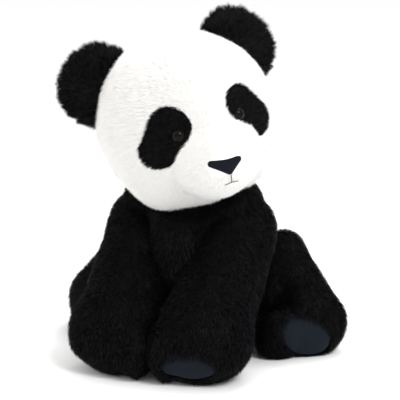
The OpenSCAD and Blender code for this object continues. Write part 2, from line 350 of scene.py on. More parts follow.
SOOT = (0.55, 0.62, 0.8)
BLACKS = [
    shader("black_fur_root", (0.0008, 0.0008, 0.0010), 0.8, 0.0, spec=0.02),
    shader("black_fur_dark", (0.0012, 0.0012, 0.0016), 0.7, 0.007, SOOT, spec=0.05),
    shader("black_fur_mid", (0.0019, 0.0020, 0.0026), 0.6, 0.013, SOOT, spec=0.08),
    shader("black_fur_light", (0.0034, 0.0036, 0.0046), 0.55, 0.025, SOOT, spec=0.12),
]
WHITES = [
    shader("white_fur_root", (0.91, 0.895, 0.87), 0.8, 0.1, spec=0.2),
    shader("white_fur_dark", (0.925, 0.915, 0.895), 0.7, 0.2, spec=0.2),
    shader("white_fur_mid", (0.93, 0.92, 0.90), 0.65, 0.25, spec=0.2),
    shader("white_fur_light", (0.95, 0.945, 0.93), 0.6, 0.3, spec=0.25),
]
BLACK_CLOTH = grain(
    shader("black_backing", (0.004, 0.004, 0.005), 0.9, 0.05, spec=0.2),
    1400, 0.5, 0.0006, tone=((0.003, 0.003, 0.0035), (0.007, 0.007, 0.0085)),
)
WHITE_CLOTH = grain(
    shader("white_backing", (0.86, 0.84, 0.80), 0.9, 0.2, spec=0.2),
    1400, 0.5, 0.0006, tone=((0.87, 0.85, 0.82), (0.93, 0.92, 0.90)),
)
PAD = grain(
    shader("pad_velour", (0.010, 0.013, 0.018), 0.9, 0.05, (0.45, 0.6, 0.9), 0.5, spec=0.08),
    2300, 0.9, 0.0006, tone=((0.0035, 0.0048, 0.007), (0.011, 0.0145, 0.021)),
)
NOSE = grain(
    shader("nose_velour", (0.008, 0.010, 0.015), 0.9, 0.05, (0.5, 0.6, 0.9), 0.5, spec=0.08),
    2600, 0.9, 0.0006, tone=((0.0032, 0.004, 0.0062), (0.0095, 0.012, 0.018)),
)
THREAD = grain(
    shader("thread", (0.012, 0.012, 0.015), 0.6, 0.2, spec=0.3),
    3000, 0.6, 0.0003, tone=((0.008, 0.008, 0.01), (0.02, 0.02, 0.024)),
)
SEAM_THREAD = grain(
    shader("seam_thread", (0.002, 0.002, 0.0024), 0.9, spec=0.03),
    3000, 0.6, 0.0003, tone=((0.0012, 0.0012, 0.0014), (0.003, 0.003, 0.0035)),
)
FIBRE = grain(
    shader("fibre", (0.8, 0.8, 0.76), 0.9),
    500, 0.8, 0.002, tone=((0.7, 0.7, 0.66), (0.85, 0.85, 0.8)),
)
BEANS = grain(
    shader("bean_bag_cloth", (0.5, 0.42, 0.3), 0.9),
    300, 0.9, 0.002, tone=((0.42, 0.34, 0.24), (0.58, 0.5, 0.38)), kind="ShaderNodeTexVoronoi",
)


# ---- Fur ----


def scatter(verts, faces, density, rng):
    """Evenly spread points on a surface, so many to the square millimetre."""
    a, b, c = verts[faces[:, 0]], verts[faces[:, 1]], verts[faces[:, 2]]
    area = np.linalg.norm(np.cross(b - a, c - a), axis=1) / 2
    total = np.cumsum(area)
    n = int(total[-1] * density)
    at = (np.arange(n) + rng.random(n)) * total[-1] / n
    i = np.minimum(np.searchsorted(total, at), len(faces) - 1)
    u, v = rng.random((2, n))
    over = u + v > 1
    u, v = np.where(over, 1 - u, u), np.where(over, 1 - v, v)
    return a[i] + (b - a)[i] * u[:, None] + (c - a)[i] * v[:, None]


MAX_STRANDS = 66000
ROOT_DEPTH = 0.3  # how far a strand starts under the surface, mm
FLOOR_CLEAR = 0.25  # how near a strand comes to the floor, mm
ROOT_RISE, TIP_FALL = 0.25, 0.3  # how much steeper a strand starts, and flatter it ends, in radians


def fur(name, f, skin, flow, length, density, seed, materials, place=None, mask=None, lift=42.0,
        tuft=3.2, pull=0.26, width=0.4, ruffle=0.2, droop=0.12, mottle=0.09, stray=0.05, roll=0.85,
        floor=True):
    """A coat of strands on the surface f. Each strand is a ribbon of two segments that tapers to a
    point. Named for a point on the surface: flow gives the direction that the strand lies in,
    length its length in mm, and mask the share of strands kept there.

    lift: degrees that strands stand off the surface. tuft, pull: the tufts' spacing in mm, and how
    much strands lean to them. width: of a ribbon in mm. ruffle, stray: how much each strand, and
    slow waves over the coat, turn the flow. droop: how much tips sag. mottle: how much the shading
    differs from tuft to tuft. roll: how far a ribbon turns about its length, in radians. floor:
    keeps strands above the floor, and leaves out those under the piece."""
    place = place or Place()
    rng = np.random.default_rng(seed)
    p = scatter(*skin, density, rng)
    if mask is not None:
        p = p[rng.random(len(p)) < mask(p)]
    if len(p) > MAX_STRANDS:
        p = p[np.sort(rng.permutation(len(p))[:MAX_STRANDS])]
    n = slope(f, p)
    world_n = place.dirs(n)
    if floor:
        off_floor = place.points(p)[:, 2] > 1.2
        seen = off_floor | (world_n[:, 2] > -0.9)
        p, n = p[seen], n[seen]
    count = len(p)
    way = flow(p, n)
    swirl = rng.normal(size=(24, 3)) * 0.09
    shift = rng.uniform(0, 6.28, (24,))
    waves = [np.sin(p @ swirl[i::3].T + shift[i::3]).sum(1) for i in range(3)]
    way = unit(way) + np.stack(waves, 1) * stray
    way = unit(way - (way * n).sum(1, keepdims=True) * n)
    way = unit(way + ruffle * rng.normal(size=(count, 3)))
    ell = length(p) * rng.uniform(0.72, 1.16, count)
    angle = np.radians(lift + 9 * rng.normal(size=count))
    steep, flat = (angle + ROOT_RISE)[:, None], (angle - TIP_FALL)[:, None]
    first = unit(n * np.sin(steep) + way * np.cos(steep))
    last = unit(n * np.sin(flat) + way * np.cos(flat))
    last = place.dirs(last)
    last[:, 2] -= droop
    last = unit(last) @ place.m  # back to the shape's own axes: m is orthogonal
    middle = p + first * (ell * 0.5)[:, None]
    tip = middle + last * (ell * 0.5)[:, None]
    # strands gather in tufts
    pick = rng.permutation(count)[: max(8, int(count / (density * tuft * tuft)))]
    tree = KDTree(len(pick))
    for k, i in enumerate(pick):
        tree.insert(p[i], k)
    tree.balance()
    nearest = np.array([tree.find(q)[1] for q in p])
    of_tuft = pick[nearest]
    strength = (pull * rng.uniform(0.4, 1.3, count))[:, None]
    tip = tip + (tip[of_tuft] - tip) * strength
    middle = middle + (middle[of_tuft] - middle) * strength * 0.3
    lie = unit(tip - p)
    side = unit(np.cross(lie, n))
    over = np.cross(side, lie)
    over = np.where((over * n).sum(1, keepdims=True) < 0, -over, over)
    twist = rng.uniform(-roll, roll, count)[:, None]
    side = side * np.cos(twist) + over * np.sin(twist)
    w = (width * rng.uniform(0.75, 1.25, count) / 2)[:, None]
    base = p - n * ROOT_DEPTH
    foot, waist = side * w, side * w * 0.9
    v = np.stack((base - foot, base + foot, middle - waist, middle + waist, tip), 1)
    v = v.reshape(-1, 3)
    if floor:
        world = place.points(v)
        low = np.minimum(world[:, 2] - FLOOR_CLEAR, 0)
        v = v - (low[:, None] * place.m[2])
    # the shading normal follows the skin more than the ribbon, as in a dense pile
    tone = rng.normal(size=(len(pick), 3))[nearest]
    shade = unit(n + mottle * tone + 0.10 * rng.normal(size=(count, 3)) - 0.14 * way)
    normals = np.repeat(shade, 5, axis=0)
    ids = np.arange(count)[:, None] * 5
    # wind each ribbon, a quad and a triangle, so that it faces outward
    quad = np.array((0, 2, 3, 1))
    tri = np.array((2, 4, 3))
    loops = np.concatenate((ids + quad, ids + tri), axis=1)
    corner = v.reshape(-1, 5, 3)
    face_n = np.cross(corner[:, 2] - corner[:, 0], corner[:, 1] - corner[:, 0])
    turned = (face_n * n).sum(1) < 0
    loops[turned] = np.concatenate((ids + quad[::-1], ids + tri[::-1]), axis=1)[turned]
    starts = (np.arange(count)[:, None] * 7 + np.array((0, 4))).ravel()
    # which of the four colours: partly by strand, partly by tuft, and no lighter at the root
    share = rng.random(count) * 0.75 + rng.random(len(pick))[nearest] * 0.25
    tip_slot = 1 + (share > 0.36).astype(int) + (share > 0.66)
    root_slot = np.where(share > 0.55, 1, 0)
    slots = np.stack((root_slot, tip_slot), 1).ravel()
    return mesh_object(name, v, starts, loops.ravel(), place, slots, materials, normals)


def even(mm):
    return lambda p: np.full(len(p), float(mm))


# ---- Head, in its own axes: the face looks along -y, its left is +x ----

HEAD_AT = joint_at("neck_turn")
look = np.array(JOINTS["head_tilt"]["axis"], float)
HEAD_TURN = math.degrees(math.atan2(look[0], -look[1]))
HEAD_LEAN = 15.0
HEAD_ROT = turn_z(HEAD_TURN) @ turn_y(-HEAD_LEAN)
HEAD_ASIDE = np.array((-3.0, 0, 0))  # the stuffing leans a little to the toy's right
HEAD = Place(HEAD_ROT, HEAD_AT + HEAD_ASIDE)

MUZZLE_AT = np.array((2.0, -52.0, -22.5))
skull = ellipsoid((-1, 0, 1), (68.0, 65.0, 67.5))
muzzle = ellipsoid(MUZZLE_AT, (32.5, 29.0, 29.0))
cheeks = join(14, ellipsoid((23, -14, -25), (35, 35, 34)), ellipsoid((-23, -14, -25), (35, 35, 34)))
head_f = lumpy(join(5, join(8, skull, cheeks), muzzle), 11, 40, 0.5)
head_skin = skin_of(head_f, (0, -6, -4))

patch_shape = join(
    4,
    cone((31.5, -62, 13.5), 16.0, (44.0, -54, -4.5), 13.5),
    cone((37.5, -56, -5.5), 12, (46, -53, -5), 12),
)
# the right one is cut wider
wider_patch = join(4, patch_shape, cone((28, -63, 10), 14.5, (31, -60, 0), 13.0))
PATCH_BALL_R = 71.0
PATCH_BACK_Y = -20  # no patch behind this
PATCH_OFF_MUZZLE, MUZZLE_EDGE = 1.6, 1.8  # how far from the muzzle's own surface they end
BRIDGE = np.array((0, -74, -14.0))  # of the nose: the fur of the face runs out from it
MUZZLE_TIP = np.array((0.6, -80, -23.0))


def flat_to_head(p):
    """Points moved out or in to a ball of the head's size, and to its left half, so that both
    patches are drawn on the same round surface."""
    q = p / np.linalg.norm(p, axis=1, keepdims=True) * PATCH_BALL_R
    q[:, 0] = np.abs(q[:, 0])
    return q


def patch_inside(p):
    on_front = p[:, 1] < PATCH_BACK_Y
    off_muzzle = muzzle(p) > PATCH_OFF_MUZZLE
    q = flat_to_head(p)
    inside = np.where(p[:, 0] > 0, patch_shape(q) < 0, wider_patch(q) < 0)
    return inside & on_front & off_muzzle


EYE_OUT = {LEFT: unit((27, -66.5, 7)), RIGHT: unit((-27.5, -66, 5.5))}
EYE_R = 5.25


def near_eye(p, side, r):
    off = p - (p @ EYE_OUT[side])[:, None] * EYE_OUT[side]
    return np.linalg.norm(off, axis=1) < r


NOSE_AT = np.array((-0.4, 0.0, -23.4))  # height on the muzzle's front


def nose_outline(n=48):
    """A triangle, point down, with round corners, as points round its middle in mm: x across, z up.
    It is sewn on a little askew."""
    t = np.linspace(0, 2 * math.pi, n, endpoint=False)
    corner = np.array(((-10.4, 4.0), (10.7, 1.9), (2.0, -5.6)))
    r = 2.6
    out = []
    for a in t:
        d = np.array((math.cos(a), math.sin(a)))
        out.append(corner[np.argmax(corner @ d)] + r * d)
    return np.array(out)


def in_nose(p, grow=0.0):
    x, z = p[:, 0] - NOSE_AT[0], p[:, 2] - NOSE_AT[2]
    shape = nose_outline()
    ang = np.arctan2(z, x)
    edge_ang = np.arctan2(shape[:, 1], shape[:, 0])
    order = np.argsort(edge_ang)
    radius = np.linalg.norm(shape, axis=1)[order]
    r_edge = np.interp(ang, edge_ang[order], radius, period=2 * math.pi)
    return (np.hypot(x, z) < r_edge + grow) & (p[:, 1] < -50)


def head_kind(p):
    """0 head, 1 muzzle, 2 left patch, 3 right patch."""
    kind = np.where(muzzle(p) < MUZZLE_EDGE, 1, 0)
    patch = patch_inside(p)
    kind = np.where(patch & (p[:, 0] > 0), 2, kind)
    return np.where(patch & (p[:, 0] < 0), 3, kind)


mid_face = head_skin[0][head_skin[1]].mean(1)
under_patch = np.where(head_kind(mid_face) > 1, 1, 0)
head_piece = solid("head_skin", *head_skin, HEAD, under_patch, (WHITE_CLOTH, BLACK_CLOTH))
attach(head_piece, "head")
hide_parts("head_face", "head_gusset", "head_back_left", "head_back_right",
            "head_filling", "muzzle_filling")


def head_flow(p, n):
    """Fur runs from the bridge of the nose out over the face, and down at the back."""
    away = p - BRIDGE
    blend = np.clip((p[:, 1] + 70) / 90, 0, 1)[:, None]
    sag = np.array((0, 0.25, -1.0))
    return unit(away) * (1.15 - 0.5 * blend) + sag * (0.35 + 0.65 * blend)


def muzzle_flow(p, n):
    away = p - MUZZLE_TIP
    return unit(away) + np.array((0, 0.2, -0.25))


def patch_flow(p, n):
    """As the white fur round it, so that white lies over the patch at its inner edge, and black
    over white at its outer edge."""
    away = unit(p - BRIDGE)
    beside = np.clip(1 - (muzzle(p)[:, None] - PATCH_OFF_MUZZLE) / 8, 0, 1)
    away = away * (1 - beside) + unit(p - MUZZLE_AT) * beside
    return away + np.array((0, 0.15, -0.25))


def fur_piece(name, body, slot, *args, replaces=(), **kw):
    ob = fur(name, *args, **kw)
    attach(ob, body)
    if replaces:
        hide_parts(*replaces)
    return ob


FRONT_ENDS_Y = -8  # the head's white fur is two pieces that meet here


def white_share(p):
    return (head_kind(p) == 0) * 1.0


def muzzle_share(p):
    return ((head_kind(p) == 1) & ~in_nose(p, -1.0)) * 1.0


def head_length(p):
    """Short round the muzzle, longer farther back."""
    face = np.clip((p[:, 1] + 72) / 36, 0, 1)
    return 3.2 + 2.6 * face


def muzzle_length(p):
    tip = np.linalg.norm(p - MUZZLE_TIP, axis=1)
    return np.clip(2.2 + tip * 0.07, 2.4, 4.8)


def back_share(p):
    return white_share(p) * (p[:, 1] > FRONT_ENDS_Y)


def front_share(p):
    return white_share(p) * (p[:, 1] <= FRONT_ENDS_Y)


def patch_share(side, kind):
    """All of one patch but a hole under its eye."""
    return lambda p: ((head_kind(p) == kind) & ~near_eye(p, side, EYE_R - 1.5)) * 1.0


WHITE_COAT = dict(
    place=HEAD, pull=0.08, ruffle=0.22, width=0.34, mottle=0.02, stray=0.015, roll=0.4, floor=False,
)
fur_piece("head_fur_front", "head", "white_plush", head_f, head_skin, head_flow, head_length, 3.4,
          21, WHITES, mask=front_share, lift=42, tuft=2.6, **WHITE_COAT)
fur_piece("head_fur_back", "head", "white_plush", head_f, head_skin, head_flow, head_length, 2.4,
          22, WHITES, mask=back_share, lift=42, tuft=3.0, **WHITE_COAT)
fur_piece("muzzle_fur", "head", "white_plush", head_f, head_skin, muzzle_flow, muzzle_length, 4.4,
          23, WHITES, mask=muzzle_share, lift=38, tuft=2.2, replaces=("muzzle_panel",),
          **WHITE_COAT)
for side, word in SIDES:
    kind = 2 if side == LEFT else 3
    fur_piece(f"eye_patch_fur_{word}", "head", "black_plush", head_f, head_skin, patch_flow,
              even(4.6), 5.0, 30 + kind, BLACKS, place=HEAD, mask=patch_share(side, kind),
              lift=40, tuft=2.2, pull=0.3, width=0.36, floor=False,
              replaces=(f"eye_patch_{word}",))


# ---- Nose, mouth and eyes ----


def lay_on(f, centre, axes, outline, crown, rings=9, sink=1.2, edge=0.5, lowest=None):
    """A cushioned pad laid on the surface f: outline is its edge about centre, seen along out.
    axes are the pad's across, up and out directions. crown is how far its middle stands above its
    edge, edge how far that stands off f, and sink how far the skirt goes under f. No point is
    looked for below height lowest. Returns vertices and triangles of a closed shape."""
    across, up, out = axes
    n = len(outline)
    rho = np.linspace(0, 1, rings + 1)[1:]
    flat, dome = [np.zeros((1, 2))], [np.array((crown + edge,))]
    for r in rho:
        flat.append(outline * r)
        dome.append(np.full(n, edge + crown * math.sqrt(max(0.0, 1 - r**4))))
    flat, dome = np.concatenate(flat), np.concatenate(dome)
    start = centre + flat[:, :1] * across + flat[:, 1:] * up
    if lowest is not None:
        start[:, 2] = np.maximum(start[:, 2], lowest)
    top = start + along_to(f, start, out, 80.0)[:, None] * out
    nrm = slope(f, top)
    top = top + nrm * dome[:, None]
    skirt = top[-n:] - nrm[-n:] * (edge + sink)
    middle = top[:1] - nrm[:1] * (edge + crown + sink)
    verts = np.concatenate((top, skirt, middle))
    ring = [1 + k * n + np.arange(n) for k in range(rings + 1)]
    after = [np.roll(a, -1) for a in ring]
    tris = [np.stack((np.zeros(n, int), ring[0], after[0]), 1)]
    for k in range(rings):
        tris.append(np.stack((ring[k], ring[k + 1], after[k + 1]), 1))
        tris.append(np.stack((ring[k], after[k + 1], after[k]), 1))
    last = np.full(n, len(verts) - 1)
    tris.append(np.stack((ring[rings], last, after[rings]), 1))
    return verts, np.concatenate(tris)


def smooth_edge(ob, level=1):
    mod = ob.modifiers.new("smooth", "SUBSURF")
    mod.levels = mod.render_levels = level
    return ob


nose_axes = (np.array((1.0, 0, 0)), np.array((0, 0, 1.0)), np.array((0, -1.0, 0)))
nose_from = NOSE_AT + np.array((0, -40.0, 0))  # inside the muzzle, behind the nose
v, t = lay_on(head_f, nose_from, nose_axes, nose_outline(), 1.7, edge=0.15)
nose = smooth_edge(solid("nose", v, t, HEAD, None, (NOSE,)))
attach(nose, "head")
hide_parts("nose")


def tube(points, r, sides=10):
    """A thread through points, with round ends."""
    p = np.array(points, float)
    run = unit(np.gradient(p, axis=0))
    ref = np.array((0.3, 0.2, 0.93))
    a = unit(np.cross(run, ref))
    b = np.cross(run, a)
    ang = np.arange(sides) * 2 * math.pi / sides
    rad = np.full(len(p), r)
    rad[0] = rad[-1] = r * 0.35
    cos, sin = np.cos(ang)[None, :, None], np.sin(ang)[None, :, None]
    v = p[:, None] + rad[:, None, None] * (cos * a[:, None] + sin * b[:, None])
    v = np.concatenate((v.reshape(-1, 3), p[:1], p[-1:]))
    q = []
    for i in range(len(p) - 1):
        s = i * sides + np.arange(sides)
        e = i * sides + (np.arange(sides) + 1) % sides
        q.append(np.stack((s, s + sides, e + sides), 1))
        q.append(np.stack((s, e + sides, e), 1))
    s, e = np.arange(sides), (np.arange(sides) + 1) % sides
    q.append(np.stack((s, e, np.full(sides, len(v) - 2)), 1))
    s, e = s + (len(p) - 1) * sides, e + (len(p) - 1) * sides
    q.append(np.stack((e, s, np.full(sides, len(v) - 1)), 1))
    return v, np.concatenate(q)


def on_muzzle(xz, lift):
    """Points on the muzzle's front at these x and z."""
    start = np.stack((xz[:, 0] + NOSE_AT[0], np.full(len(xz), -40.0), xz[:, 1]), 1)
    out = np.array((0, -1.0, 0))
    p = start + along_to(head_f, start, out, 60.0)[:, None] * out
    return p + slope(head_f, p) * lift


NOSE_TIP = NOSE_AT[2] - 8.4
MOUTH_X, MOUTH_HALF_W = 2.0, 5.2
THREAD_R, THREAD_LIFT = 0.33, 1.7  # the thread lies on the pile, off the skin
s = np.linspace(0, 1, 14)
stem = np.stack((MOUTH_X + 0 * s, NOSE_TIP + 0.8 - 6.2 * s), 1)
s = np.linspace(-1, 1, 31)
smile_z = NOSE_TIP - 5.4 - 1.6 * s**2 + 0.9 * np.abs(s) ** 3
smile = np.stack((MOUTH_X + MOUTH_HALF_W * s, smile_z), 1)
parts = [tube(on_muzzle(line, THREAD_LIFT), THREAD_R) for line in (stem, smile)]
verts = np.concatenate([p[0] for p in parts])
tris = np.concatenate((parts[0][1], parts[1][1] + len(parts[0][0])))
mouth = solid("mouth_stitch", verts, tris, HEAD, None, (THREAD,))
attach(mouth, "head")
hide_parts("mouth_stitch")


def spun(profile, steps=48):
    """A turned shape: profile is (radius, height) from the top middle to the bottom middle."""
    prof = np.array(profile, float)
    ang = np.arange(steps) * 2 * math.pi / steps
    rings = prof[1:-1]
    v = [np.array((0, 0, prof[0][1]))[None]]
    for r, h in rings:
        v.append(np.stack((r * np.cos(ang), r * np.sin(ang), np.full(steps, h)), 1))
    v.append(np.array((0, 0, prof[-1][1]))[None])
    v = np.concatenate(v)
    i, j = np.arange(steps), (np.arange(steps) + 1) % steps
    f = [np.stack((np.zeros(steps, int), 1 + i, 1 + j), 1)]
    for k in range(len(rings) - 1):
        a, b = 1 + k * steps, 1 + (k + 1) * steps
        f.append(np.stack((a + i, b + i, b + j), 1))
        f.append(np.stack((a + i, b + j, a + j), 1))
    a = 1 + (len(rings) - 1) * steps
    f.append(np.stack((a + i, np.full(steps, len(v) - 1), a + j), 1))
    return v, np.concatenate(f)


def axes_to(out, up=(0, 0, 1)):
    """A rotation whose z is out and whose x is level."""
    z = unit(out)
    x = unit(np.cross(up, z))
    return np.stack((x, np.cross(z, x), z), 1)


DOME, SHANK_R, WASHER_R = 4.4, 1.5, 7.4
dome_profile = [(EYE_R * math.sin(a), DOME * math.cos(a)) for a in np.linspace(0, math.pi / 2, 14)]
eye_profile = dome_profile + [
    (EYE_R + 0.25, -0.5), (EYE_R + 0.1, -0.9), (EYE_R - 0.8, -1.1),
    (SHANK_R, -1.2), (SHANK_R, -6.0), (WASHER_R, -6.2), (WASHER_R, -7.6), (SHANK_R, -7.8),
    (SHANK_R, -13.0), (0, -13.6)]
# the eye's colour at shares of its radius: black in the middle, with a dark brown ring
EYE_MIDDLE, EYE_RIM = (0.001, 0.0008, 0.0008), (0.004, 0.002, 0.0015)
EYE_TONES = (
    (0.56, (0.0012, 0.001, 0.0009)),
    (0.66, (0.005, 0.0024, 0.0014)),
    (0.85, (0.009, 0.004, 0.0022)),
)

for side, word in SIDES:
    out = EYE_OUT[side]
    r_skin = float(reach(head_f, np.zeros(3), out[None])[0])
    at = out * (r_skin + 0.1)
    rot = HEAD_ROT @ axes_to(out)
    place = Place(rot, HEAD.points(at[None])[0])
    m = shader(f"eye_plastic_{word}", (0.006, 0.004, 0.003), 0.05, spec=0.11)
    where = add(m, "ShaderNodeTexCoord")
    rel = add(m, "ShaderNodeVectorMath", operation="SUBTRACT")
    rel.inputs[1].default_value = Vector(place.at * MM)
    wire(m, where, "Object", rel, 0)
    cross = add(m, "ShaderNodeVectorMath", operation="CROSS_PRODUCT")
    cross.inputs[1].default_value = Vector(rot[:, 2])
    wire(m, rel, "Vector", cross, 0)
    length = add(m, "ShaderNodeVectorMath", operation="LENGTH")
    wire(m, cross, "Vector", length, 0)
    ramp = add(m, "ShaderNodeValToRGB")
    scaled = add(m, "ShaderNodeMath", operation="MULTIPLY")
    scaled.inputs[1].default_value = 1 / (EYE_R * MM)
    wire(m, length, "Value", scaled, 0)
    wire(m, scaled, "Value", ramp, "Fac")
    stops = ramp.color_ramp.elements
    stops[0].position, stops[0].color = 0.0, (*EYE_MIDDLE, 1)
    stops[1].position, stops[1].color = 1.0, (*EYE_RIM, 1)
    for pos, colour in EYE_TONES:
        e = stops.new(pos)
        e.color = (*colour, 1)
    wire(m, ramp, "Color", bsdf(m), "Base Color")
    v, t = spun(eye_profile)
    eye = smooth_edge(solid(f"eye_{word}", v, t, place, None, (m,)))
    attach(eye, "head")
    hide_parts(f"eye_{word}", f"eye_washer_{word}")


# ---- Ears, in their own axes: x along the hinge, z away from the head, -y the front ----

# sewn on a little unevenly
EAR_OUT = {LEFT: unit((0.80, 0.35, 0.49)), RIGHT: unit((0.745, 0.33, 0.58))}
EAR_AXIS_AT, EAR_TURN = {LEFT: 78.2, RIGHT: 72.5}, 20.0


def spin_to(out):
    """The rotation that first tips z by out's angle from z, and then turns it about z."""
    out = unit(out)
    round_z, from_z = math.atan2(out[1], out[0]), math.acos(out[2])
    return turn_z(math.degrees(round_z)) @ turn_y(math.degrees(from_z))


ear_f = join(5, ellipsoid((0, 0, 2.5), (28.5, 6.6, 26.0)), ellipsoid((0, 0, -5.5), (25, 6.8, 9)))
ear_f = cut(4, ear_f, ellipsoid((0, -12.7, 8), (22, 9.5, 19)))
ear_f = lumpy(ear_f, 41, 22, 0.35)
ear_skin = skin_of(ear_f, (0, 1.5, 2))


def ear_flow(p, n):
    out = np.stack((p[:, 0], 0.1 * p[:, 1], p[:, 2] + 16), 1)
    return unit(out)


def ear_length(p):
    """Long at the rim."""
    rim = np.clip(np.hypot(p[:, 0], p[:, 2] - 2) / 26, 0, 1)
    return 5.0 + 5.0 * rim**2


for side, word in SIDES:
    mirror = np.diag((side, 1.0, 1.0))
    rot = HEAD_ROT @ mirror @ spin_to(EAR_OUT[side]) @ turn_z(-EAR_TURN)
    at = HEAD.points((EAR_OUT[side] * np.array((side, 1, 1)) * EAR_AXIS_AT[side])[None])[0]
    place = Place(rot, at)
    place.flip = side == RIGHT  # rot already mirrors, so this only turns the faces outward
    body = f"ear_{word}"
    ob = solid(f"ear_skin_{word}", *ear_skin, place, None, (BLACK_CLOTH,))
    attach(ob, body)
    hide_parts(f"ear_filling_{word}")
    for front in (True, False):
        half = "front" if front else "back"
        fur_piece(f"ear_fur_{half}_{word}", body, "black_plush", ear_f, ear_skin, ear_flow,
                  ear_length, 4.2, 42 + front, BLACKS, place=place,
                  mask=lambda p, s=front: ((p[:, 1] < 0) == s) * 1.0,
                  lift=40, tuft=2.8, pull=0.5, ruffle=0.26, width=0.34, droop=0.0, floor=False,
                  replaces=(f"ear_{half}_{word}",))


# ---- Torso ----

rump = ellipsoid((0, 37, 53), (47, 58, 55))
chest = ellipsoid((0, 6, 104), (45, 42, 47))
shoulders = join(
    10, ellipsoid((32, -8, 119), (24, 27, 26)), ellipsoid((-32, -8, 119), (24, 27, 26)),
)
keel = ellipsoid((0, -29, 84), (27, 34, 46))
torso_f = join(14, rump, chest, shoulders, keel)
torso_f = keep(5, torso_f, ABOVE_FLOOR)
torso_f = lumpy(torso_f, 51, 44, 0.7)
torso_f = keep(2, torso_f, ABOVE_FLOOR)
torso_skin = skin_of(torso_f, (0, 20, 80))
# the black ends at height SPLIT_FRONT 40 mm in front of the origin, and at SPLIT_BACK SPLIT_RUN
# behind that
SPLIT_FRONT, SPLIT_BACK, SPLIT_RUN = 52.0, 118.0, 120.0
UNDER_HEAD_R = 46  # the chest has no fur nearer than this to the neck's joint


def is_chest(p):
    wave = 1.5 * np.sin(p[:, 0] * 0.11)
    return p[:, 2] > SPLIT_FRONT + (p[:, 1] + 40) * (SPLIT_BACK - SPLIT_FRONT) / SPLIT_RUN + wave


def chest_share(p):
    clear_of_head = np.linalg.norm(p - HEAD_AT, axis=1) > UNDER_HEAD_R
    return (is_chest(p) & clear_of_head) * 1.0


mid_face = torso_skin[0][torso_skin[1]].mean(1)
black_part = is_chest(mid_face).astype(int)
torso = solid("torso_skin", *torso_skin, None, black_part, (WHITE_CLOTH, BLACK_CLOTH))
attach(torso, "torso")
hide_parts("torso_filling", "seat_panel")


def torso_flow(p, n):
    zero = 0 * p[:, 0]
    return np.stack((0.12 * np.sign(p[:, 0]) + zero, 0.1 + zero, -1 + zero), 1)


BLACK_COAT = dict(lift=42, tuft=3.2, pull=0.24, ruffle=0.17)
fur_piece("chest_fur", "torso", "black_plush", torso_f, torso_skin, torso_flow, even(6.5), 1.9,
          52, BLACKS, mask=chest_share, replaces=("chest_panel",), **BLACK_COAT)
fur_piece("body_fur", "torso", "white_plush", torso_f, torso_skin, torso_flow, even(6.5), 1.9,
          53, WHITES, mask=lambda p: (~is_chest(p)) * 1.0, lift=40, tuft=3.8,
          replaces=("body_panel",))


# ---- Front legs ----

arm_up = cone((41, -10, 104), 26.0, (35, -74, 40), 32.0)
paw = ellipsoid((35.5, -84, 29), (35, 31, 29))
inner_toe = ellipsoid((12, -104, 24), (11, 11, 20))
arm_f = join(8, join(12, arm_up, paw), inner_toe)
arm_f = lumpy(arm_f, 61, 36, 0.8)
arm_f = keep(4, arm_f, ABOVE_FLOOR)
arm_skin = skin_of(arm_f, (41, -52, 58))

PAW_PAD_AT = np.array((33, -82, 30.0))
PAW_PAD_OUT = {LEFT: unit((0.04, -0.92, -0.38)), RIGHT: unit((0.0, -0.3, -0.95))}


def oval(w, h, n=56, power=2.3):
    """The outline of a pad, w and h from its middle. Over 2, power makes it squarer than an
    ellipse."""
    a = np.linspace(0, 2 * math.pi, n, endpoint=False)
    c, s = np.cos(a), np.sin(a)
    x = w * np.sign(c) * np.abs(c) ** (2 / power)
    y = h * np.sign(s) * np.abs(s) ** (2 / power)
    return np.stack((x, y), 1)


def pad_axes(out, tilt=0.0):
    rot = axes_to(out) @ turn_z(tilt)
    return rot[:, 0], rot[:, 1], rot[:, 2]


def in_oval(p, centre, axes, w, h, grow=0.0):
    q = p - centre
    x, y, z = q @ axes[0], q @ axes[1], q @ axes[2]
    return (np.hypot(x / (w + grow), y / (h + grow)) < 1) & (z > 0)


PAW_AXES = {s: pad_axes(PAW_PAD_OUT[s]) for s in (LEFT, RIGHT)}
PAW_W, PAW_H = 22.0, 12.0
PAD_CLEAR = 0.3  # no pad comes nearer the floor
ARM_SEAM_X = 40  # between a front leg's outer and inner fur


def arm_share(outer, axes):
    """The outer or inner half of a front leg, without its pad. The fur laps over the pad's edge."""
    return lambda p: (
        ((p[:, 0] > ARM_SEAM_X) == outer) & ~in_oval(p, PAW_PAD_AT, axes, PAW_W, PAW_H, -2.6)
    ) * 1.0


def arm_flow(p, n):
    along = unit(np.array((-4, -70, -66.0)))
    down = np.array((0, -0.15, -1.0))
    t = np.clip((100 - p[:, 2]) / 60, 0, 1)[:, None]
    out = np.stack((0.15 * np.sign(p[:, 0] - 38), 0 * p[:, 0], 0 * p[:, 0]), 1)
    return down * (1 - 0.35 * t) + along * 0.35 * t + out


for side, word in SIDES:
    place = Place(flip=side == RIGHT)
    body = f"arm_{word}"
    ob = solid(f"arm_skin_{word}", *arm_skin, place, None, (BLACK_CLOTH,))
    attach(ob, body)
    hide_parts(f"arm_filling_{word}")
    for outer in (True, False):
        half = "outer" if outer else "inner"
        fur_piece(f"arm_fur_{half}_{word}", body, "black_plush", arm_f, arm_skin, arm_flow,
                  even(6.2), 1.9, 62 + outer, BLACKS, place=place,
                  mask=arm_share(outer, PAW_AXES[side]), replaces=(f"arm_{half}_{word}",),
                  **BLACK_COAT)
    v, t = lay_on(arm_f, PAW_PAD_AT, PAW_AXES[side], oval(PAW_W, PAW_H), 2.0, sink=1.0)
    v[:, 2] = np.maximum(v[:, 2], PAD_CLEAR)
    pad = smooth_edge(solid(f"paw_pad_{word}", v, t, place, None, (PAD,)))
    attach(pad, body)
    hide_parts(f"paw_pad_{word}")


# ---- Hind legs ----

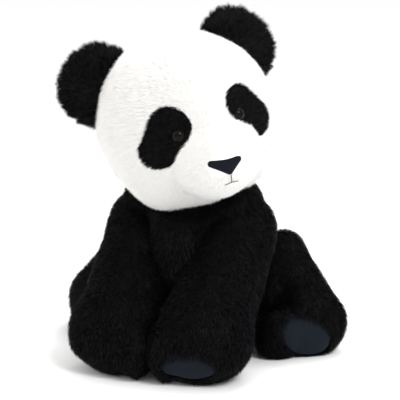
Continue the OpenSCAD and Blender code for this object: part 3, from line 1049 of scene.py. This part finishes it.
SPLAY = 37.0  # degrees that the soles turn out from straight ahead
SOLE_OUT = np.array((math.sin(math.radians(SPLAY)), -math.cos(math.radians(SPLAY)), 0))
SOLE_AT = np.array((92, 4, 25.0)) + 11.0 * SOLE_OUT
thigh = ellipsoid((59, 38, 45), (22, 36, 41))
shin = cone((65, 36, 78), 11.5, (95, 12, 27), 23.0)
heel = ellipsoid((88, 10, 22), (29, 25, 21), turn_z(SPLAY))
toes = ellipsoid((72, -10, 20), (17, 14, 20), turn_z(SPLAY))
leg_f = join(12, thigh, shin, heel)
leg_f = keep(7, leg_f, half_space(SOLE_AT, SOLE_OUT))
leg_f = join(6, leg_f, toes)
leg_f = lumpy(leg_f, 71, 34, 0.8)
leg_f = keep(4, leg_f, ABOVE_FLOOR)
leg_skin = skin_of(leg_f, (76, 20, 36))

FOOT_PAD_AT = np.array((91.5, -3.5, 19.0)) - 20 * SOLE_OUT
FOOT_AXES = pad_axes(SOLE_OUT, -26)
FOOT_W, FOOT_H = 23.5, 16.0


def leg_share(p):
    """All but the foot pad. The fur laps over the pad's edge."""
    return (~in_oval(p, FOOT_PAD_AT, FOOT_AXES, FOOT_W, FOOT_H, -2.2)) * 1.0


def leg_flow(p, n):
    x = np.clip((p[:, 0] - 50) / 50, 0, 1)
    return np.stack((0.25 + 0.5 * x, -0.35 + 0 * x, -0.9 + 0 * x), 1)  # out, forward and down


for side, word in SIDES:
    place = Place(flip=side == RIGHT)
    body = f"leg_{word}"
    ob = solid(f"leg_skin_{word}", *leg_skin, place, None, (BLACK_CLOTH,))
    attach(ob, body)
    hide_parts(f"leg_filling_{word}")
    fur_piece(f"leg_fur_{word}", body, "black_plush", leg_f, leg_skin, leg_flow, even(6.5), 2.0,
              72, BLACKS, place=place, mask=leg_share, replaces=(f"leg_cover_{word}",),
              **BLACK_COAT)
    foot = oval(FOOT_W, FOOT_H)
    v, t = lay_on(leg_f, FOOT_PAD_AT, FOOT_AXES, foot, 2.6, sink=1.0, lowest=4.0)
    v[:, 2] = np.maximum(v[:, 2], PAD_CLEAR)
    pad = smooth_edge(solid(f"foot_pad_{word}", v, t, place, None, (PAD,)))
    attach(pad, body)
    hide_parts(f"foot_pad_{word}")


# ---- Tail ----

TAIL_AT = joint_at("tail_wag")
tail_root, tail_end = TAIL_AT + np.array((0, -3, 0.6)), TAIL_AT + np.array((0, 7, -3.0))
tail_f = lumpy(cone(tail_root, 6.6, tail_end, 8.2), 81, 20, 0.3)
tail_skin = skin_of(tail_f, TAIL_AT + np.array((0, 3, -1)))
ob = solid("tail_skin", *tail_skin, None, None, (WHITE_CLOTH,))
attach(ob, "tail")
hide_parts("tail_filling")


def tail_flow(p, n):
    return unit(p - TAIL_AT) + np.array((0, 0.3, -0.7))


fur_piece("tail_fur", "tail", "white_plush", tail_f, tail_skin, tail_flow, even(6.5), 4.2, 82,
          WHITES, lift=36, tuft=2.8, replaces=("tail_cover",))


# ---- CAD pieces that stay ----

for name, material in (
    ("neck_filling", FIBRE), ("bean_bag", BEANS), ("neck_seam", SEAM_THREAD),
    ("shoulder_seam_left", SEAM_THREAD), ("shoulder_seam_right", SEAM_THREAD),
    ("hip_seam_left", SEAM_THREAD), ("hip_seam_right", SEAM_THREAD),
):
    me = NODES[name].data
    me.materials.clear()
    me.materials.append(material)


# ---- Stage and light ----

FLOOR = shader("floor", (0.93, 0.93, 0.93), 0.8, spec=0.1)
grain(FLOOR, 60, 0.02, 0.001, tone=((0.965, 0.965, 0.965), (0.975, 0.975, 0.975)))
FAR = 6000.0
floor_corners = np.array(((-FAR, -FAR, 0), (FAR, -FAR, 0), (FAR, FAR, 0), (-FAR, FAR, 0)))
floor = solid("floor", floor_corners, np.array(((0, 1, 2, 3),)), None, None, (FLOOR,))

world = bpy.data.worlds.new("world")
world.use_nodes = True
world.node_tree.nodes["Background"].inputs["Color"].default_value = (1, 1, 1, 1)
world.node_tree.nodes["Background"].inputs["Strength"].default_value = 1.0
bpy.context.scene.world = world


def lamp(name, at, aim, size, watts, colour=(1, 1, 1)):
    data = bpy.data.lights.new(name, "AREA")
    data.shape, data.size, data.energy, data.color = "DISK", size, watts, colour
    ob = bpy.data.objects.new(name, data)
    bpy.context.scene.collection.objects.link(ob)
    ob.location = at
    ob.rotation_mode = "QUATERNION"
    ob.rotation_quaternion = (Vector(aim) - Vector(at)).to_track_quat("-Z", "Y")


TOY_MIDDLE = (0, 0, 0.12)
lamp("key", (1.0, -0.8, 1.3), TOY_MIDDLE, 0.6, 16)
lamp("fill", (-1.1, -0.7, 0.7), TOY_MIDDLE, 1.0, 2.5, (1, 0.95, 0.88))
lamp("top", (0.1, 0.6, 1.6), TOY_MIDDLE, 1.0, 9)
